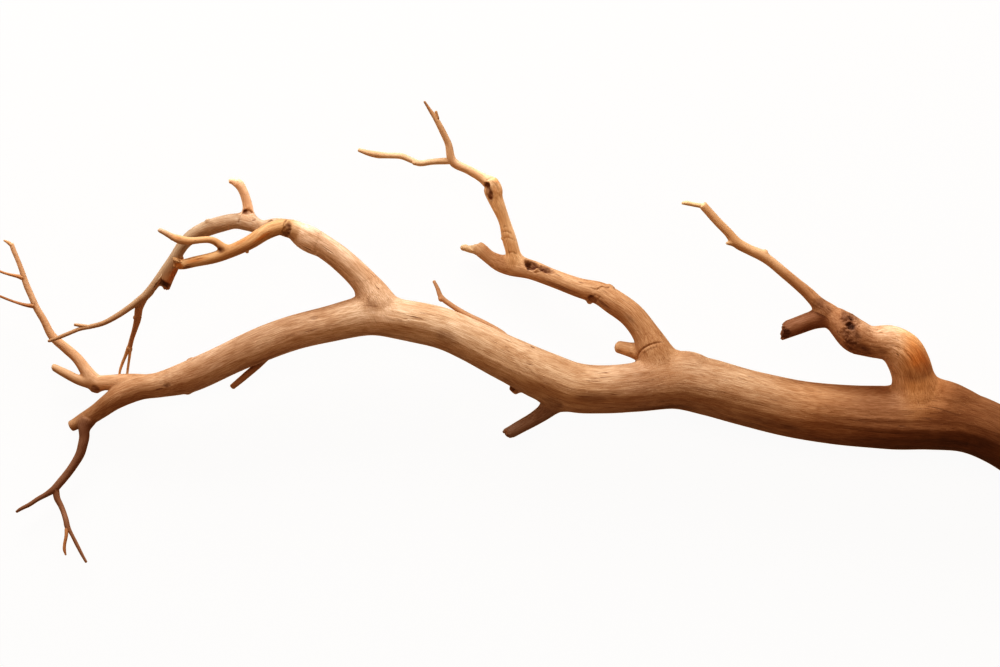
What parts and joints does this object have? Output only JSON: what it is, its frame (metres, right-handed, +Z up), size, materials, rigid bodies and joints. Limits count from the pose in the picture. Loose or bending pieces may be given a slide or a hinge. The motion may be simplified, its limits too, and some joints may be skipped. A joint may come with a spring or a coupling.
{
  "type": "dry branch",
  "caption": "Bark-free dry tree branch lying flat: a stout sawn stem that tapers and forks into arching limbs, broken stubs and fine twigs.",
  "frame": {"origin": "under the middle of the branch, on the surface that it rests on", "axes": "+X along the stem towards its sawn butt, +Y to the side that the limbs grow on, +Z up"},
  "size_m": [0.7745, 0.3232, 0.0775],
  "materials": {
    "dry_wood": "matte, weathered, bark-free"
  },
  "bodies": {
    "root": {"branch": "dry_wood"}
  },
  "joints": []
}
